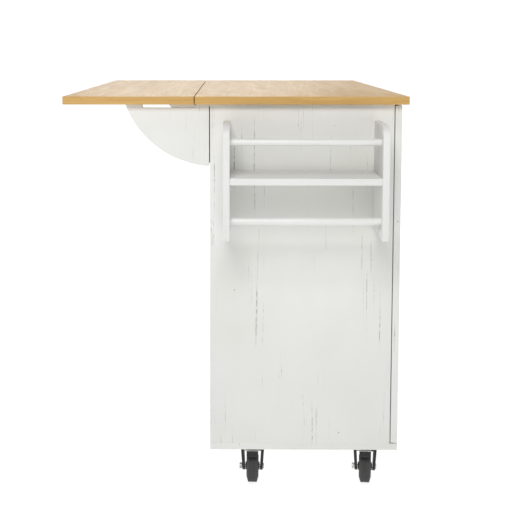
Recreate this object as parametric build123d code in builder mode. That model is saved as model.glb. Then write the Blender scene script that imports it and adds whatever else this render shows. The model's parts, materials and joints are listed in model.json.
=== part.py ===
from build123d import *
from math import sqrt
import os

os.makedirs("parts", exist_ok=True)

# Kitchen island cart on four casters. Millimetres, +Z up, +X along the cart, away from the end rack.
# The doors and drawers face -Y and the drop leaf is along the back, +Y.
# The origin is the middle of the whole object's box, on the floor.

# ---------------------------------------------------------------- driving dimensions

# Boards and the body
board = 15.0  # white laminated board
body_length = 1168.0
panel_depth = 415.0  # end panels, front edge to back edge
panel_height = 785.0
# Worktop and drop leaf
top_thickness = 18.0
end_overhang = 16.0  # worktop past each end panel
front_overhang = 14.0  # worktop past the door fronts
back_overhang = 34.0  # worktop past the back of the body
leaf_depth = 294.0
leaf_gap = 2.0
# Rack on the end panel
rack_depth = 160.0
rack_height = 247.5
rack_width = 355.0  # over both uprights
rack_drop = 37.0  # worktop underside to the top of the uprights
rack_corner = 28.0
rack_shelf_drop = 112.5  # top of the uprights to the top of the shelf
rack_bar_diameter = 16.0
rack_bar_inset = 38.0  # bar axis from the ends of the uprights
rack_bar_reach = 128.0  # bar axis from the end panel
rack_bar_socket = 7.0
# Leaf brackets
bracket_reach = 190.5
bracket_radius = 215.0
bracket_arc_rise = 75.0  # arc centre above the worktop's underside
bracket_gap = 2.0  # bracket edge to the body's back
notch_near_margin = 21.4  # notch past the swept leaf hinge, towards the body
notch_far_margin = 26.6  # the same, towards the tip
notch_clearance = 1.0  # under the leaf hinge's knuckles
leaf_rest_gap = 0.3
# Fronts
door_gap = 2.0  # behind doors and drawer fronts
front_bottom_gap = 2.0
front_top_gap = 3.0
front_gap = 3.0  # between neighbouring fronts
drawer_column = 340.0
drawer_count = 3
# Handles
handle_projection = 28.0
handle_bar = 10.0
handle_length = 160.0
handle_spacing = 128.0
handle_post = 8.0
handle_inset = 40.0  # handle centre line from a door's free edge
handle_drop = 180.0  # handle centre below a door's top edge
# Door pivots and catches
pivot_pin = 5.0
pivot_edge = 5.0  # pin axis from the door's outer edge
pivot_back = 9.0  # pin axis from the door's back face
pivot_depth = 12.0
pivot_collar = 9.0
catch_length = 40.0
catch_depth = 14.0
catch_height = 12.0
catch_inset = 30.0
# Inside the bays
back_setback = 20.0  # shelf front from the panels' front edges
shelf_side_gap = 1.0
shelf_level = 480.0  # underside of the shelf above the floor
shelf_pin = 5.0
shelf_pin_depth = 8.0
shelf_pin_inset = 55.0
shelf_pin_pitch = 64.0
rail_width = 60.0  # top rails
# Drawer boxes
box_side = 12.0
box_height = 150.0
box_depth = 380.0
box_lift = 25.0  # box above the lower edge of its front
box_floor = 5.0
box_floor_lift = 8.0
side_gap = 6.0
slide_height = 16.0
slide_length = 350.0
slide_setback = 10.0
groove_depth = 6.0
# Butt hinges
hinge_pin = 3.0
knuckle_radius = 3.2
hinge_plate = 1.5
leaf_hinge_length = 60.0
leaf_hinge_width = 28.0
leaf_hinge_inset = 115.0  # hinge centre from the worktop's end
bracket_hinge_width = 22.0
bracket_hinge_margin = 6.0  # hinge's ends from the bracket's ends
# Fasteners
screw_head = 9.0
screw_head_height = 2.5
screw_shank = 5.0
screw_reach = 32.0  # into the board it holds
worktop_bite = 11.0
screw_row_front = 50.0  # rows of screws from the panels' front and back edges
screw_row_back = 40.0
dowel_diameter = 8.0
dowel_in_panel = 10.0
dowel_in_rail = 20.0
# Casters
wheel_diameter = 75.0
tread_width = 20.0
wheel_width = 28.0
tread_depth = 13.0
hub_boss_radius = 9.0
hub_boss_width = 33.0
hub_recess = 4.0
axle_diameter = 8.0
axle_head = 5.5
axle_nut_radius = 7.0
axle_end = 2.0  # thread past the nut
nut_height = 6.5
tyre_shoulder = 1.5
hub_flare = 2.0  # web past the boss
hub_rim = 4.0
hub_rim_edge = 3.0
caster_trail = 24.0
plate_size = 60.0
plate_thickness = 2.5
plate_screw_pitch = 44.0
plate_corner = 6.0
plate_screw = 6.0
plate_screw_head = 10.8
plate_screw_head_height = 4.0
plate_screw_depth = 12.0
race_diameter = 40.0
race_height = 8.1
race_rounding = 1.0
kingpin_diameter = 10.0
kingpin_head = 16.0
kingpin_head_height = 3.0
crown_lift = 6.0  # underside of the fork's crown above the wheel
crown_thickness = 3.0
fork_inside_top = 41.0
fork_inside_axle = 35.4
fork_leg = 6.5
fork_web = 3.0
fork_foot_radius = 9.5
fork_nose = 19.0  # crown ahead of the swivel axis
fork_tail = 38.0  # ears behind the swivel axis
fork_window = 24.5  # the crown is open behind this
fork_nose_drop = 6.0  # rim in front of the crown
fork_ear_drop = 5.0  # ears below the brake pin
brake_pin = 5.0
brake_back = 8.0  # brake pin behind the axle
brake_lift = 3.8  # brake pin above the wheel's top
brake_plate = 2.0
brake_barrel = 3.7
lever_heel = 3.0  # lever ahead of its pin
lever_under = 1.0  # heel below the pin's axis
lever_over = 4.0  # heel above the pin's axis
lever_bend = 14.0  # lever is level behind this
lever_waist = 6.0  # bend of its underside, behind the pin
lever_waist_lift = 2.0  # and above the pin's axis
pad_overlap = 1.0  # pad past the lever's end
pad_rounding = 2.0
shoe_back = 8.0  # shoe behind the brake pin
shoe_width = 2.5
shoe_clearance = 2.8  # over the tread when released
brake_width = 26.8
pad_reach = 36.0  # pad face behind the brake pin
pad_depth = 13.0
pad_height = 13.5
pad_drop = 4.8  # pad's lower edge below the brake pin
caster_end_inset = 75.0  # swivel axis from the end panel's face
caster_front_inset = 65.0
caster_back_inset = 100.0
caster_turns = {"near_back": -2.0, "near_front": -6.0, "far_back": 52.0, "far_front": -41.0}

# Clearances between pieces that move apart
running = 0.05  # radial, pins and axles
clear = 0.4
overcut = 1.0  # cutting shapes reach past the surface

# ---------------------------------------------------------------- derived places

wheel_radius = wheel_diameter / 2
axle_z = wheel_radius
tyre_inner_radius = wheel_radius - tread_depth
crown_low = wheel_diameter + crown_lift
crown_top = crown_low + crown_thickness
race_low = crown_top + clear
caster_height = race_low + race_height + plate_thickness

handles_past_top = max(handle_projection - front_overhang, 0.0)
worktop_length = body_length + 2 * end_overhang
body_depth = board + door_gap + panel_depth
worktop_depth = front_overhang + body_depth + back_overhang
overall_length = rack_depth + body_length + end_overhang
overall_depth = handles_past_top + worktop_depth + leaf_gap + leaf_depth

rack_face = -overall_length / 2
near_face = rack_face + rack_depth
near_inner = near_face + board
far_face = near_face + body_length
far_inner = far_face - board
body_middle = (near_face + far_face) / 2
worktop_start = near_face - end_overhang

worktop_front = -overall_depth / 2 + handles_past_top
worktop_back = worktop_front + worktop_depth
split_y = worktop_back + leaf_gap / 2
leaf_start = worktop_back + leaf_gap
door_front = worktop_front + front_overhang
door_back = door_front + board
panel_front = door_back + door_gap
body_back = panel_front + panel_depth
back_inner = body_back - board
panel_middle = (panel_front + body_back) / 2

floor_top = caster_height + board
panel_top = floor_top + panel_height
worktop_z = panel_top
front_low = floor_top + front_bottom_gap
front_high = worktop_z - front_top_gap
front_height = front_high - front_low
rails_low = panel_top - board

bay_width = (body_length - 4 * board - drawer_column) / 2
left_divider_x = near_inner + bay_width
right_divider_x = far_inner - bay_width - board
door_width = board + bay_width + board / 2 - front_gap / 2
drawer_front_width = drawer_column + board - front_gap
drawer_front_x = body_middle - drawer_front_width / 2
drawer_front_height = (front_height - (drawer_count - 1) * front_gap) / drawer_count

hinge_stand_off = knuckle_radius + clear  # pin axis from the board's face


# ---------------------------------------------------------------- shared shapes


def slab(x, y, z, length, depth, height, mode=Mode.ADD):
    """A board in the open part, from its lowest corner."""
    with Locations((x, y, z)):
        Box(length, depth, height, align=(Align.MIN, Align.MIN, Align.MIN), mode=mode)


def rod(start, direction, radius, length, mode=Mode.ADD):
    """A round bar or bore in the open part, from start along direction."""
    with Locations(Plane(origin=start, z_dir=direction)):
        Cylinder(radius, length, align=(Align.CENTER, Align.CENTER, Align.MIN), mode=mode)


def screw(start, direction, length):
    """A countersunk screw: start is the middle of its flush head, and direction points at the tip."""
    with Locations(Plane(origin=start, z_dir=direction)):
        Cone(
            screw_head / 2,
            screw_shank / 2,
            screw_head_height,
            align=(Align.CENTER, Align.CENTER, Align.MIN),
        )
    rod(start, direction, screw_shank / 2, length)


def screw_hole(start, direction, length):
    """The hole that the same screw sits in."""
    with Locations(Plane(origin=start, z_dir=direction)):
        Cone(
            screw_head / 2,
            screw_shank / 2,
            screw_head_height,
            align=(Align.CENTER, Align.CENTER, Align.MIN),
            mode=Mode.SUBTRACT,
        )
    rod(start, direction, screw_shank / 2, length, mode=Mode.SUBTRACT)


def bar_handle(centre, upright):
    """A round bar on two posts, on a front whose face is at centre."""
    along = Axis.Z.direction if upright else Axis.X.direction
    bar_axis = centre + Vector(0, -(handle_projection - handle_bar / 2), 0)
    with BuildPart() as handle:
        rod(bar_axis - along * handle_length / 2, along, handle_bar / 2, handle_length)
        fillet(handle.edges(), handle_bar / 6)
        for side in (-1, 1):
            foot = centre + along * side * handle_spacing / 2
            rod(foot, (0, -1, 0), handle_post / 2, handle_projection - handle_bar / 2)
    return handle.part


def hinge_half(place, length, width, fixed):
    """One half of a butt hinge. Local Z is the pin, local Y points away from the board's face,
    and the plate lies on that face towards local +X. The fixed half has the outer knuckles and the pin."""
    third = length / 3
    own = [(-length / 2, third), (length / 2 - third, third)] if fixed else [(-third / 2, third)]
    own = [(low + clear / 2, size - clear) for low, size in own]
    bore = hinge_pin / 2 if fixed else hinge_pin / 2 + running
    with BuildPart() as half:
        with BuildSketch(Plane.XY.offset(-length / 2)):
            with Locations((knuckle_radius + clear, 0)):
                Rectangle(width - knuckle_radius - clear, hinge_plate, align=(Align.MIN, Align.MIN))
        extrude(amount=length)
        for low, size in own:
            with BuildSketch(Plane.XY.offset(low)):
                Rectangle(width, hinge_plate, align=(Align.MIN, Align.MIN))
                with Locations((0, hinge_stand_off)):
                    Circle(knuckle_radius)
                    Circle(bore, mode=Mode.SUBTRACT)
            extrude(amount=size)
        if fixed:
            rod((0, hinge_stand_off, -length / 2), (0, 0, 1), hinge_pin / 2, length, Mode.SUBTRACT)
    with BuildPart() as placed:
        with Locations(place):
            add(half.part)
    if not fixed:
        return [placed.part]
    with BuildPart() as pin:
        rod((0, hinge_stand_off, -length / 2), (0, 0, 1), hinge_pin / 2, length)
    with BuildPart() as placed_pin:
        with Locations(place):
            add(pin.part)
    return [placed.part, placed_pin.part]


def save_group(name, solids):
    """Write several loose pieces of one kind as one node."""
    group = Compound(label=name, children=solids)
    export_step(group, f"parts/{name}.step")


# ---------------------------------------------------------------- places of the fasteners

upright_boards = {
    "rack_end_panel": near_face + board / 2,
    "left_divider": left_divider_x + board / 2,
    "right_divider": right_divider_x + board / 2,
    "far_end_panel": far_inner + board / 2,
}
screw_rows = (panel_front + screw_row_front, panel_middle, back_inner - screw_row_back)
bottom_screws = [(x, y, caster_height) for x in upright_boards.values() for y in screw_rows]

front_rail_y = panel_front
back_rail_y = back_inner - rail_width
rail_screw_xs = [
    near_inner + bay_width / 4,
    near_inner + bay_width * 3 / 4,
    body_middle,
    far_inner - bay_width * 3 / 4,
    far_inner - bay_width / 4,
]
rail_screws = [
    (x, y + rail_width / 2, rails_low) for x in rail_screw_xs for y in (front_rail_y, back_rail_y)
]
dowel_places = [
    (x, y + step, rails_low + board / 2, side)
    for x, side in ((near_inner, 1), (far_inner, -1))
    for y in (front_rail_y, back_rail_y)
    for step in (rail_width / 4, rail_width * 3 / 4)
]

rack_top = panel_top - rack_drop
rack_low = rack_top - rack_height
rack_front_y = panel_middle - rack_width / 2
rack_rear_y = panel_middle + rack_width / 2 - board
rack_shelf_top = rack_top - rack_shelf_drop
bar_levels = {"rack_top_bar": rack_top - rack_bar_inset, "rack_bottom_bar": rack_low + rack_bar_inset}
rack_screws = [
    (near_inner, y + board / 2, z)
    for y in (rack_front_y, rack_rear_y)
    for z in (rack_low + rack_height / 5, rack_top - rack_height / 5)
]
rack_screws += [
    (near_inner, panel_middle + side * rack_width / 4, rack_shelf_top - board / 2) for side in (-1, 1)
]

shelf_pin_ys = (panel_front + back_setback + shelf_pin_inset, back_inner - shelf_pin_inset)
shelf_pin_zs = [shelf_level - shelf_pin / 2 + step * shelf_pin_pitch for step in (-1, 0, 1)]


def cut_shelf_pin_holes(face_x, side):
    """Rows of blind shelf-pin holes in the open part, drilled from face_x towards side."""
    for y in shelf_pin_ys:
        for z in shelf_pin_zs:
            rod((face_x, y, z), (side, 0, 0), shelf_pin / 2, shelf_pin_depth, Mode.SUBTRACT)


def cut_bottom_screw_holes():
    """The holes that the bottom screws need, in whichever board is the open part."""
    for place in bottom_screws:
        screw_hole(place, (0, 0, 1), board + screw_reach)


# ---------------------------------------------------------------- carcass

with BuildPart() as bottom_panel:
    slab(near_face, door_front, caster_height, body_length, body_depth, board)
    cut_bottom_screw_holes()
    for pivot_x in (near_face + pivot_edge, far_face - pivot_edge):
        rod(
            (pivot_x, door_back - pivot_back, floor_top),
            (0, 0, -1),
            pivot_pin / 2,
            pivot_depth,
            Mode.SUBTRACT,
        )
    for caster_x in (near_face + caster_end_inset, far_face - caster_end_inset):
        for caster_y in (door_front + caster_front_inset, body_back - caster_back_inset):
            for dx in (-1, 1):
                for dy in (-1, 1):
                    hole = (
                        caster_x + dx * plate_screw_pitch / 2,
                        caster_y + dy * plate_screw_pitch / 2,
                        caster_height,
                    )
                    rod(hole, (0, 0, 1), plate_screw / 2, plate_screw_depth, Mode.SUBTRACT)
bottom_panel.part.label = "bottom_panel"
export_step(bottom_panel.part, "parts/bottom_panel.step")

with BuildPart() as rack_end_panel:
    slab(near_face, panel_front, floor_top, board, panel_depth, panel_height)
    cut_bottom_screw_holes()
    cut_shelf_pin_holes(near_inner, -1)
    for place in rack_screws:
        screw_hole(place, (-1, 0, 0), board + screw_reach)
    for x, y, z, side in dowel_places:
        rod((x, y, z), (-side, 0, 0), dowel_diameter / 2, dowel_in_panel, Mode.SUBTRACT)
rack_end_panel.part.label = "rack_end_panel"
export_step(rack_end_panel.part, "parts/rack_end_panel.step")

with BuildPart() as far_end_panel:
    slab(far_inner, panel_front, floor_top, board, panel_depth, panel_height)
    cut_bottom_screw_holes()
    cut_shelf_pin_holes(far_inner, 1)
    for x, y, z, side in dowel_places:
        rod((x, y, z), (-side, 0, 0), dowel_diameter / 2, dowel_in_panel, Mode.SUBTRACT)
far_end_panel.part.label = "far_end_panel"
export_step(far_end_panel.part, "parts/far_end_panel.step")

divider_depth = back_inner - panel_front
with BuildPart() as left_divider:
    slab(left_divider_x, panel_front, floor_top, board, divider_depth, panel_height - board)
    cut_bottom_screw_holes()
    cut_shelf_pin_holes(left_divider_x, 1)
left_divider.part.label = "left_divider"
export_step(left_divider.part, "parts/left_divider.step")

with BuildPart() as right_divider:
    slab(right_divider_x, panel_front, floor_top, board, divider_depth, panel_height - board)
    cut_bottom_screw_holes()
    cut_shelf_pin_holes(right_divider_x + board, -1)
right_divider.part.label = "right_divider"
export_step(right_divider.part, "parts/right_divider.step")

with BuildPart() as back_panel:
    slab(near_inner, back_inner, floor_top, far_inner - near_inner, board, panel_height)
back_panel.part.label = "back_panel"
export_step(back_panel.part, "parts/back_panel.step")

rails = []
for rail_y in (front_rail_y, back_rail_y):
    with BuildPart() as top_rail:
        slab(near_inner, rail_y, rails_low, far_inner - near_inner, rail_width, board)
        for place in rail_screws:
            screw_hole(place, (0, 0, 1), board + worktop_bite)
        for x, y, z, side in dowel_places:
            rod((x, y, z), (side, 0, 0), dowel_diameter / 2, dowel_in_rail, Mode.SUBTRACT)
    rails.append(top_rail.part)
save_group("top_rails", rails)

with BuildPart() as worktop:
    slab(worktop_start, worktop_front, worktop_z, worktop_length, worktop_depth, top_thickness)
    for place in rail_screws:
        screw_hole(place, (0, 0, 1), board + worktop_bite)
    for pivot_x in (near_face + pivot_edge, far_face - pivot_edge):
        rod(
            (pivot_x, door_back - pivot_back, worktop_z),
            (0, 0, 1),
            pivot_pin / 2,
            pivot_depth,
            Mode.SUBTRACT,
        )
worktop.part.label = "worktop"
export_step(worktop.part, "parts/worktop.step")

# ---------------------------------------------------------------- fasteners inside the carcass

screws = []
for place in bottom_screws:
    with BuildPart() as one_screw:
        screw(place, (0, 0, 1), board + screw_reach)
    screws.append(one_screw.part)
for place in rail_screws:
    with BuildPart() as one_screw:
        screw(place, (0, 0, 1), board + worktop_bite)
    screws.append(one_screw.part)
for place in rack_screws:
    with BuildPart() as one_screw:
        screw(place, (-1, 0, 0), board + screw_reach)
    screws.append(one_screw.part)
save_group("carcass_screws", screws)

dowels = []
for x, y, z, side in dowel_places:
    with BuildPart() as dowel:
        rod(
            (x - side * dowel_in_panel, y, z),
            (side, 0, 0),
            dowel_diameter / 2,
            dowel_in_panel + dowel_in_rail,
        )
    dowels.append(dowel.part)
save_group("rail_dowels", dowels)

# ---------------------------------------------------------------- bay shelves

shelf_front = panel_front + back_setback
for name, bay_x in (("left_shelf", near_inner), ("right_shelf", right_divider_x + board)):
    with BuildPart() as shelf:
        slab(
            bay_x + shelf_side_gap,
            shelf_front,
            shelf_level,
            bay_width - 2 * shelf_side_gap,
            back_inner - shelf_front,
            board,
        )
    shelf.part.label = name
    export_step(shelf.part, f"parts/{name}.step")

pins = []
for face_x, side in (
    (near_inner, -1),
    (left_divider_x, 1),
    (right_divider_x + board, -1),
    (far_inner, 1),
):
    for y in shelf_pin_ys:
        with BuildPart() as pin:
            rod(
                (face_x + side * shelf_pin_depth, y, shelf_level - shelf_pin / 2),
                (-side, 0, 0),
                shelf_pin / 2,
                2 * shelf_pin_depth,
            )
        pins.append(pin.part)
save_group("shelf_pins", pins)

# ---------------------------------------------------------------- rack on the end panel

for name, upright_y, socket_y in (
    ("rack_front_upright", rack_front_y, rack_front_y + board),
    ("rack_rear_upright", rack_rear_y, rack_rear_y),
):
    inward = 1 if socket_y == upright_y else -1
    with BuildPart() as upright:
        slab(rack_face, upright_y, rack_low, rack_depth, board, rack_height)
        corner = upright.edges().filter_by(Axis.Y).group_by(Axis.Z)[-1].sort_by(Axis.X)[0]
        fillet(corner, rack_corner)
        for level in bar_levels.values():
            start = (near_face - rack_bar_reach, socket_y, level)
            rod(start, (0, inward, 0), rack_bar_diameter / 2, rack_bar_socket, Mode.SUBTRACT)
        for place in rack_screws:
            screw_hole(place, (-1, 0, 0), board + screw_reach)
    upright.part.label = name
    export_step(upright.part, f"parts/{name}.step")

rack_inside = rack_rear_y - rack_front_y - board
with BuildPart() as rack_shelf:
    slab(rack_face, rack_front_y + board, rack_shelf_top - board, rack_depth, rack_inside, board)
    for place in rack_screws:
        screw_hole(place, (-1, 0, 0), board + screw_reach)
rack_shelf.part.label = "rack_shelf"
export_step(rack_shelf.part, "parts/rack_shelf.step")

for name, level in bar_levels.items():
    with BuildPart() as rack_bar:
        rod(
            (near_face - rack_bar_reach, rack_front_y + board - rack_bar_socket, level),
            (0, 1, 0),
            rack_bar_diameter / 2,
            rack_inside + 2 * rack_bar_socket,
        )
    rack_bar.part.label = name
    export_step(rack_bar.part, f"parts/{name}.step")

# ---------------------------------------------------------------- drop leaf and its hinges

with BuildPart() as drop_leaf:
    slab(worktop_start, leaf_start, worktop_z, worktop_length, leaf_depth, top_thickness)
drop_leaf.part.label = "drop_leaf"
export_step(drop_leaf.part, "parts/drop_leaf.step")

leaf_hinge_xs = (
    worktop_start + leaf_hinge_inset,
    body_middle,
    worktop_start + worktop_length - leaf_hinge_inset,
)
fixed_halves = []
moving_halves = []
for hinge_x in leaf_hinge_xs:
    under = (hinge_x, split_y, worktop_z)
    fixed_place = Plane(origin=under, x_dir=(0, -1, 0), z_dir=(1, 0, 0)).location
    moving_place = Plane(origin=under, x_dir=(0, 1, 0), z_dir=(-1, 0, 0)).location
    fixed_halves += hinge_half(fixed_place, leaf_hinge_length, leaf_hinge_width, True)
    moving_halves += hinge_half(moving_place, leaf_hinge_length, leaf_hinge_width, False)
save_group("leaf_hinge_fixed_halves", fixed_halves)
save_group("leaf_hinge_moving_halves", moving_halves)

# ---------------------------------------------------------------- leaf brackets and their hinges

bracket_top = worktop_z - leaf_rest_gap
bracket_centre_y = bracket_reach - sqrt(bracket_radius**2 - bracket_arc_rise**2)
arc_drop = sqrt(bracket_radius**2 - (bracket_gap - bracket_centre_y) ** 2)
bracket_low = worktop_z + bracket_arc_rise - arc_drop
middle_reach = (bracket_gap + bracket_reach) / 2
middle_low = worktop_z + bracket_arc_rise - sqrt(bracket_radius**2 - (middle_reach - bracket_centre_y) ** 2)

# The notch lets the bracket swing past the nearest leaf hinge, so it covers what that hinge sweeps.
hinge_from_pin = leaf_hinge_inset - end_overhang - board - hinge_stand_off
split_from_pin = split_y - body_back - hinge_stand_off
notch_start = hinge_from_pin - leaf_hinge_length / 2 - notch_near_margin
hinge_far_corner = Vector(hinge_from_pin + leaf_hinge_length / 2, split_from_pin + leaf_hinge_width)
notch_end = hinge_far_corner.length + notch_far_margin
notch_depth = 2 * knuckle_radius + clear + notch_clearance

# One long hinge holds each bracket along its whole height.
bracket_hinge_length = bracket_top - bracket_low - 2 * bracket_hinge_margin
hinge_z = (bracket_low + bracket_top) / 2

bracket_fixed_halves = []
for name, board_x, inner_x, inward in (
    ("near", near_face, near_inner, 1),
    ("far", far_inner, far_inner, -1),
):
    with BuildPart() as bracket:
        with BuildSketch(Plane(origin=(board_x, body_back, 0), x_dir=(0, 1, 0), z_dir=(1, 0, 0))):
            with BuildLine():
                Polyline(
                    (bracket_gap, bracket_low),
                    (bracket_gap, bracket_top),
                    (notch_start, bracket_top),
                    (notch_start, bracket_top - notch_depth),
                    (notch_end, bracket_top - notch_depth),
                    (notch_end, bracket_top),
                    (bracket_reach, bracket_top),
                )
                ThreePointArc(
                    (bracket_reach, bracket_top), (middle_reach, middle_low), (bracket_gap, bracket_low)
                )
            make_face()
        extrude(amount=board)
    bracket.part.label = f"{name}_leaf_bracket"
    export_step(bracket.part, f"parts/{name}_leaf_bracket.step")

    pin_x = inner_x + inward * hinge_stand_off
    pin_y = body_back + hinge_stand_off
    fixed_place = Plane(
        origin=(pin_x, body_back, hinge_z), x_dir=(inward, 0, 0), z_dir=(0, 0, inward)
    ).location
    moving_place = Plane(
        origin=(inner_x, pin_y, hinge_z), x_dir=(0, 1, 0), z_dir=(0, 0, -inward)
    ).location
    bracket_fixed_halves += hinge_half(fixed_place, bracket_hinge_length, bracket_hinge_width, True)
    moving_half = hinge_half(moving_place, bracket_hinge_length, bracket_hinge_width, False)
    save_group(f"{name}_bracket_hinge_halves", moving_half)
save_group("bracket_hinge_fixed_halves", bracket_fixed_halves)

# ---------------------------------------------------------------- doors

pivot_pins = []
catches = []
for name, door_x, pivot_x, handle_x, catch_x in (
    (
        "left_door",
        near_face,
        near_face + pivot_edge,
        near_face + door_width - handle_inset,
        left_divider_x - catch_inset - catch_length,
    ),
    (
        "right_door",
        far_face - door_width,
        far_face - pivot_edge,
        far_face - door_width + handle_inset,
        right_divider_x + board + catch_inset,
    ),
):
    pivot_y = door_back - pivot_back
    with BuildPart() as door:
        slab(door_x, door_front, front_low, door_width, board, front_height)
        for end_z, up in ((front_low, 1), (front_high, -1)):
            rod(
                (pivot_x, pivot_y, end_z),
                (0, 0, up),
                pivot_pin / 2 + running,
                pivot_depth + clear,
                Mode.SUBTRACT,
            )
    door.part.label = name
    export_step(door.part, f"parts/{name}.step")

    handle = bar_handle(Vector(handle_x, door_front, front_high - handle_drop), True)
    handle.label = f"{name}_handle"
    export_step(handle, f"parts/{name}_handle.step")

    for seat_z, up, gap in ((floor_top, 1, front_bottom_gap), (worktop_z, -1, front_top_gap)):
        with BuildPart() as pivot:
            rod(
                (pivot_x, pivot_y, seat_z - up * pivot_depth),
                (0, 0, up),
                pivot_pin / 2,
                2 * pivot_depth + gap,
            )
            rod((pivot_x, pivot_y, seat_z), (0, 0, up), pivot_collar / 2, gap - clear)
        pivot_pins.append(pivot.part)

    catch_y = panel_front - (door_gap - clear)
    with BuildPart() as catch:
        slab(catch_x, catch_y, rails_low - catch_height, catch_length, catch_depth, catch_height)
    catches.append(catch.part)
save_group("door_pivot_pins", pivot_pins)
save_group("door_catches", catches)

# ---------------------------------------------------------------- drawers

box_width = drawer_column - 2 * side_gap
box_x = body_middle - box_width / 2
inner_width = box_width - 2 * box_side
slide_thickness = side_gap + groove_depth - clear
slides = []
for index, name in enumerate(("bottom_drawer", "middle_drawer", "top_drawer")):
    low = front_low + index * (drawer_front_height + front_gap)
    box_low = low + box_lift
    slide_z = box_low + box_height / 2

    with BuildPart() as drawer_front:
        slab(drawer_front_x, door_front, low, drawer_front_width, board, drawer_front_height)
    drawer_front.part.label = f"{name}_front"
    export_step(drawer_front.part, f"parts/{name}_front.step")

    box_boards = []
    for side_x, groove_x in (
        (box_x, box_x),
        (box_x + box_width - box_side, box_x + box_width - groove_depth),
    ):
        with BuildPart() as box_wall:
            slab(side_x, door_back, box_low, box_side, box_depth, box_height)
            slab(
                groove_x,
                door_back,
                slide_z - slide_height / 2 - clear,
                groove_depth,
                box_depth,
                slide_height + 2 * clear,
                Mode.SUBTRACT,
            )
        box_boards.append(box_wall.part)
    for end_y in (door_back, door_back + box_depth - box_side):
        with BuildPart() as box_end:
            slab(box_x + box_side, end_y, box_low, inner_width, box_side, box_height)
        box_boards.append(box_end.part)
    with BuildPart() as box_bottom:
        slab(
            box_x + box_side,
            door_back + box_side,
            box_low + box_floor_lift,
            inner_width,
            box_depth - 2 * box_side,
            box_floor,
        )
    box_boards.append(box_bottom.part)
    save_group(f"{name}_box", box_boards)

    handle = bar_handle(Vector(body_middle, door_front, low + drawer_front_height / 2), False)
    handle.label = f"{name}_handle"
    export_step(handle, f"parts/{name}_handle.step")

    for slide_x in (
        left_divider_x + board,
        right_divider_x - slide_thickness,
    ):
        with BuildPart() as slide:
            slab(
                slide_x,
                panel_front + slide_setback,
                slide_z - slide_height / 2,
                slide_thickness,
                slide_length,
                slide_height,
            )
        slides.append(slide.part)
save_group("drawer_slides", slides)

# ---------------------------------------------------------------- casters, each made at the swivel axis

# The wheel trails towards local -X.
axle_x = -caster_trail

with BuildPart() as tyre:
    with BuildSketch(Plane.XY):
        with BuildLine():
            Polyline(
                (-wheel_width / 2, tyre_inner_radius),
                (-tread_width / 2, wheel_radius),
                (tread_width / 2, wheel_radius),
                (wheel_width / 2, tyre_inner_radius),
                close=True,
            )
        make_face()
    revolve(axis=Axis.X)
    rims = tyre.edges().filter_by(GeomType.CIRCLE).group_by(SortBy.RADIUS)[-1]
    fillet(rims, tyre_shoulder)

with BuildPart() as hub:
    with BuildSketch(Plane.XY):
        with BuildLine():
            Polyline(
                (-hub_boss_width / 2, axle_diameter / 2 + running),
                (-hub_boss_width / 2, hub_boss_radius),
                (-wheel_width / 2 + hub_recess, hub_boss_radius + hub_flare),
                (-wheel_width / 2 + hub_recess, tyre_inner_radius - hub_rim),
                (-wheel_width / 2, tyre_inner_radius - hub_rim_edge),
                (-wheel_width / 2, tyre_inner_radius),
                (wheel_width / 2, tyre_inner_radius),
                (wheel_width / 2, tyre_inner_radius - hub_rim_edge),
                (wheel_width / 2 - hub_recess, tyre_inner_radius - hub_rim),
                (wheel_width / 2 - hub_recess, hub_boss_radius + hub_flare),
                (hub_boss_width / 2, hub_boss_radius),
                (hub_boss_width / 2, axle_diameter / 2 + running),
                close=True,
            )
        make_face()
    revolve(axis=Axis.X)

# Fork: an inverted U of two converging legs, cut to its side outline, with pressed edges.
leg_slope = (fork_inside_top - fork_inside_axle) / 2 / (crown_low - axle_z)
foot_z = axle_z - fork_foot_radius
inside_top = fork_inside_top / 2
inside_foot = fork_inside_axle / 2 - leg_slope * fork_foot_radius
crown_inside = inside_top + leg_slope * crown_thickness


brake_x = caster_trail + brake_back
brake_z = wheel_diameter + brake_lift


def fork_outline(inset):
    """The fork's outline from the side, drawn in by inset."""
    foot_radius = fork_foot_radius - inset
    with BuildSketch(Plane.XZ) as outline:
        with BuildLine():
            Polyline(
                (axle_x + foot_radius, axle_z),
                (fork_nose - inset, crown_low - fork_nose_drop + inset / 2),
                (fork_nose - inset, crown_top - inset),
                (-fork_tail + inset, crown_top - inset),
                (-fork_tail + inset, brake_z - fork_ear_drop),
                (axle_x - foot_radius, axle_z),
            )
            ThreePointArc(
                (axle_x - foot_radius, axle_z),
                (axle_x, axle_z - foot_radius),
                (axle_x + foot_radius, axle_z),
            )
        make_face()
    return outline.sketch


with BuildPart() as leg_pockets:
    for side in (-1, 1):
        with BuildSketch(Plane.YZ):
            with BuildLine():
                Polyline(
                    (side * (inside_foot + fork_web), foot_z),
                    (side * (inside_foot + fork_leg + overcut), foot_z),
                    (side * (crown_inside + fork_leg + overcut), crown_top),
                    (side * (crown_inside + fork_web), crown_top),
                    close=True,
                )
            make_face()
        extrude(amount=fork_tail + fork_nose, both=True)
    extrude(fork_outline(fork_web), amount=fork_inside_top, both=True, mode=Mode.INTERSECT)

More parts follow.
